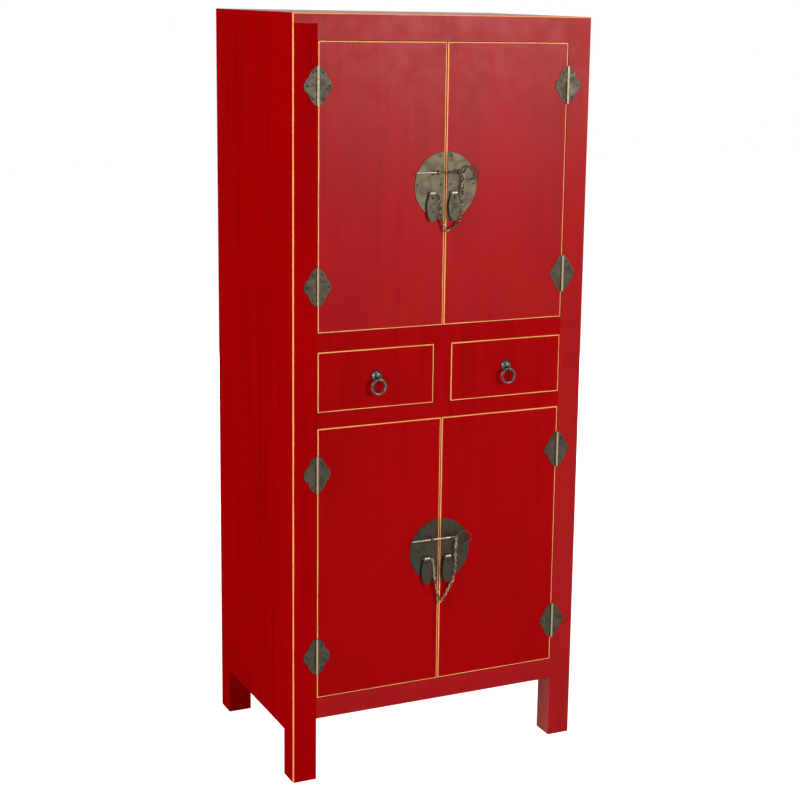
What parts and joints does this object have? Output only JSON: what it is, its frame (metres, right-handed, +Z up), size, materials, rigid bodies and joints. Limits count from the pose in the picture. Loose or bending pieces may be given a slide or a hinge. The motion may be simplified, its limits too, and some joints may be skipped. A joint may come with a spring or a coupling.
{
  "type": "cabinet",
  "caption": "Tall lacquered wedding cabinet with paired doors above and below drawers, round brass lock plates, latch pins, chains and ring pulls.",
  "frame": {"origin": "on the floor, under the middle of the whole cabinet with its hardware", "axes": "+X to the right as the front is seen, +Y to the back, +Z up"},
  "size_m": [0.5, 0.364, 1.2],
  "materials": {
    "red_lacquer": "satin lacquer",
    "bare_wood": "thinly stained",
    "aged_brass": "aged satin",
    "dark_bronze": "dark satin"
  },
  "bodies": {
    "root": {"front_left_leg": "red_lacquer", "front_right_leg": "red_lacquer", "rear_left_leg": "red_lacquer", "rear_right_leg": "red_lacquer", "top_board": "red_lacquer", "top_rail": "red_lacquer", "middle_rails": "red_lacquer", "bottom_rail": "red_lacquer", "rear_rails": "bare_wood", "drawer_divider": "red_lacquer", "side_panels": "red_lacquer", "back_panel": "bare_wood", "bottom_board": "bare_wood", "decks": "bare_wood", "shelves": "bare_wood", "cleats": "bare_wood", "drawer_guides": "bare_wood", "frame_hinge_leaves": "aged_brass", "hinge_pins": "aged_brass", "frame_nails": "aged_brass"},
    "upper_left_door": {"upper_left_door_panel": "red_lacquer", "upper_left_hinge_leaves": "aged_brass", "upper_left_lock_plate": "aged_brass", "upper_left_nails": "aged_brass", "upper_left_staples": "aged_brass", "upper_chain_left": "aged_brass"},
    "upper_left_pendant": {"upper_left_pendant": "aged_brass"},
    "upper_right_door": {"upper_right_door_panel": "red_lacquer", "upper_right_hinge_leaves": "aged_brass", "upper_right_lock_plate": "aged_brass", "upper_right_nails": "aged_brass", "upper_right_staples": "aged_brass"},
    "upper_right_pendant": {"upper_right_pendant": "aged_brass"},
    "upper_latch_pin": {"upper_latch_pin": "aged_brass", "upper_chain_right": "aged_brass"},
    "upper_latch_tip": {"upper_latch_tip": "aged_brass"},
    "lower_left_door": {"lower_left_door_panel": "red_lacquer", "lower_left_hinge_leaves": "aged_brass", "lower_left_lock_plate": "aged_brass", "lower_left_nails": "aged_brass", "lower_left_staples": "aged_brass", "lower_chain_left": "aged_brass"},
    "lower_left_pendant": {"lower_left_pendant": "aged_brass"},
    "lower_right_door": {"lower_right_door_panel": "red_lacquer", "lower_right_hinge_leaves": "aged_brass", "lower_right_lock_plate": "aged_brass", "lower_right_nails": "aged_brass", "lower_right_staples": "aged_brass"},
    "lower_right_pendant": {"lower_right_pendant": "aged_brass"},
    "lower_latch_pin": {"lower_latch_pin": "aged_brass", "lower_chain_right": "aged_brass"},
    "lower_latch_tip": {"lower_latch_tip": "aged_brass"},
    "left_drawer": {"left_drawer_front": "red_lacquer", "left_drawer_box": "bare_wood", "left_drawer_pull": "dark_bronze"},
    "left_drawer_ring": {"left_drawer_ring": "dark_bronze"},
    "right_drawer": {"right_drawer_front": "red_lacquer", "right_drawer_box": "bare_wood", "right_drawer_pull": "dark_bronze"},
    "right_drawer_ring": {"right_drawer_ring": "dark_bronze"}
  },
  "joints": [
    {"name": "upper_left_door_hinge", "type": "hinge", "parent": "root", "child": "upper_left_door", "pos_m": [-0.2105, -0.17, 0.9419], "axis": [0, 0, -1], "range_deg": [0, 160]},
    {"name": "upper_left_pendant_swing", "type": "hinge", "parent": "upper_left_door", "child": "upper_left_pendant", "pos_m": [-0.0235, -0.1726, 0.9314], "axis": [-1, 0, 0], "range_deg": [0, 85]},
    {"name": "upper_right_door_hinge", "type": "hinge", "parent": "root", "child": "upper_right_door", "pos_m": [0.2105, -0.17, 0.9419], "axis": [0, 0, 1], "range_deg": [0, 160]},
    {"name": "upper_right_pendant_swing", "type": "hinge", "parent": "upper_right_door", "child": "upper_right_pendant", "pos_m": [0.0135, -0.1726, 0.9314], "axis": [-1, 0, 0], "range_deg": [0, 85]},
    {"name": "upper_latch_pin_slide", "type": "slide", "parent": "upper_right_door", "child": "upper_latch_pin", "axis": [1, 0, 0], "range_m": [0, 0.056]},
    {"name": "upper_latch_tip_slide", "type": "slide", "parent": "upper_left_door", "child": "upper_latch_tip", "axis": [1, 0, 0], "range_m": [0, 0.056]},
    {"name": "lower_left_door_hinge", "type": "hinge", "parent": "root", "child": "lower_left_door", "pos_m": [-0.2105, -0.17, 0.3562], "axis": [0, 0, -1], "range_deg": [0, 160]},
    {"name": "lower_left_pendant_swing", "type": "hinge", "parent": "lower_left_door", "child": "lower_left_pendant", "pos_m": [-0.0235, -0.1726, 0.3457], "axis": [-1, 0, 0], "range_deg": [0, 85]},
    {"name": "lower_right_door_hinge", "type": "hinge", "parent": "root", "child": "lower_right_door", "pos_m": [0.2105, -0.17, 0.3562], "axis": [0, 0, 1], "range_deg": [0, 160]},
    {"name": "lower_right_pendant_swing", "type": "hinge", "parent": "lower_right_door", "child": "lower_right_pendant", "pos_m": [0.0135, -0.1726, 0.3457], "axis": [-1, 0, 0], "range_deg": [0, 85]},
    {"name": "lower_latch_pin_slide", "type": "slide", "parent": "lower_right_door", "child": "lower_latch_pin", "axis": [1, 0, 0], "range_m": [0, 0.056]},
    {"name": "lower_latch_tip_slide", "type": "slide", "parent": "lower_left_door", "child": "lower_latch_tip", "axis": [1, 0, 0], "range_m": [0, 0.056]},
    {"name": "left_drawer_slide", "type": "slide", "parent": "root", "child": "left_drawer", "axis": [0, -1, 0], "range_m": [0, 0.24]},
    {"name": "left_drawer_ring_swing", "type": "hinge", "parent": "left_drawer", "child": "left_drawer_ring", "pos_m": [-0.1125, -0.1779, 0.647], "axis": [-1, 0, 0], "range_deg": [0, 90]},
    {"name": "right_drawer_slide", "type": "slide", "parent": "root", "child": "right_drawer", "axis": [0, -1, 0], "range_m": [0, 0.24]},
    {"name": "right_drawer_ring_swing", "type": "hinge", "parent": "right_drawer", "child": "right_drawer_ring", "pos_m": [0.1125, -0.1779, 0.647], "axis": [-1, 0, 0], "range_deg": [0, 90]}
  ],
  "couplings": [
    {"joint": "upper_latch_tip_slide", "follows": "upper_latch_pin_slide", "ratio": 1},
    {"joint": "lower_latch_tip_slide", "follows": "lower_latch_pin_slide", "ratio": 1}
  ]
}
